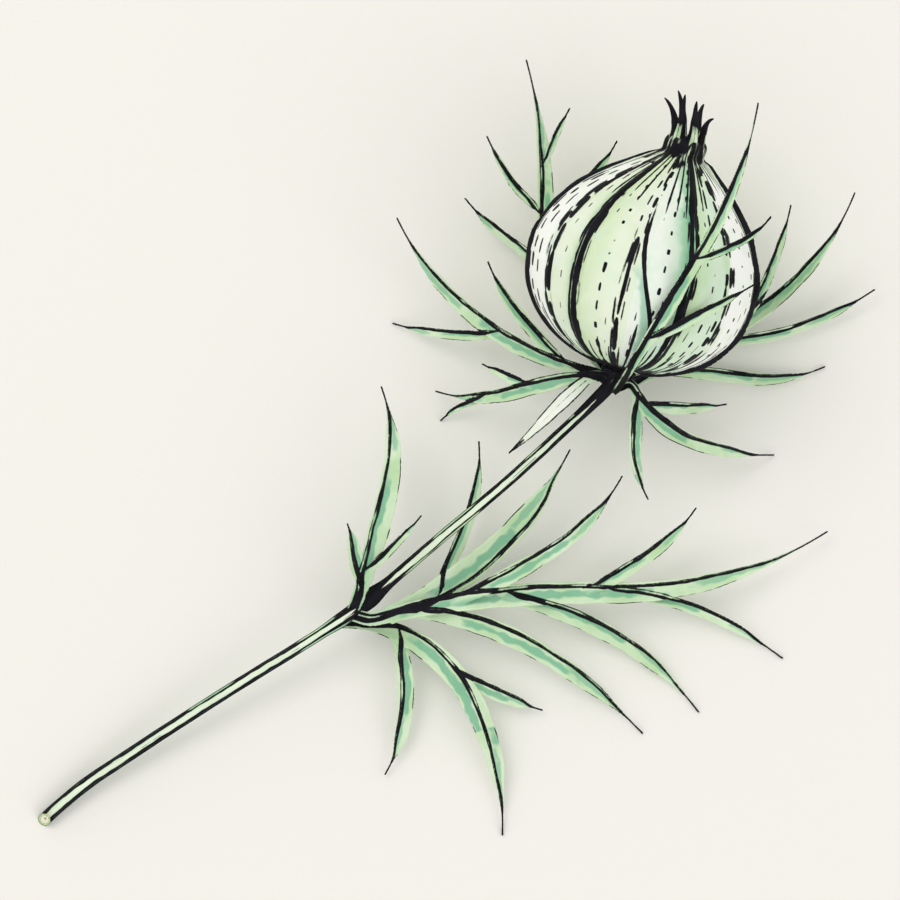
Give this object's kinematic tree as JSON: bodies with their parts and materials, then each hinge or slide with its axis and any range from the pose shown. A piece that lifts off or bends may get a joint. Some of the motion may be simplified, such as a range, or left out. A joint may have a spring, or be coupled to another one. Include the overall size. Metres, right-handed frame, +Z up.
{
  "type": "nigella seed pod",
  "caption": "Ribbed inflated seed capsule with a crown of dark styles, thread-like bracts and a leafy cut stalk, lying down.",
  "frame": {"origin": "middle of the plan box, on the surface that the plant lies on", "axes": "+X from the cut end of the stalk towards the crown of styles, +Y to the left of that line, +Z up"},
  "size_m": [0.112, 0.0656, 0.0286],
  "materials": {
    "stalk": "satin, fine lengthwise ridges, fresh green",
    "capsule": "satin papery husk, pale green panels between dark ribs",
    "style": "matt, dried dark",
    "bract": "satin, channelled green threads with dark middle line",
    "leaf": "satin, channelled green threads with dark middle line"
  },
  "bodies": {
    "root": {"stem": "stalk", "seed_capsule": "capsule", "style_1": "style", "style_2": "style", "style_3": "style", "style_4": "style", "style_5": "style", "style_6": "style", "bract_1": "bract", "bract_2": "bract", "bract_3": "bract", "bract_4": "bract", "bract_5": "bract", "bract_6": "bract", "leaf_1": "leaf", "leaf_2": "leaf", "leaf_3": "leaf"}
  },
  "joints": []
}
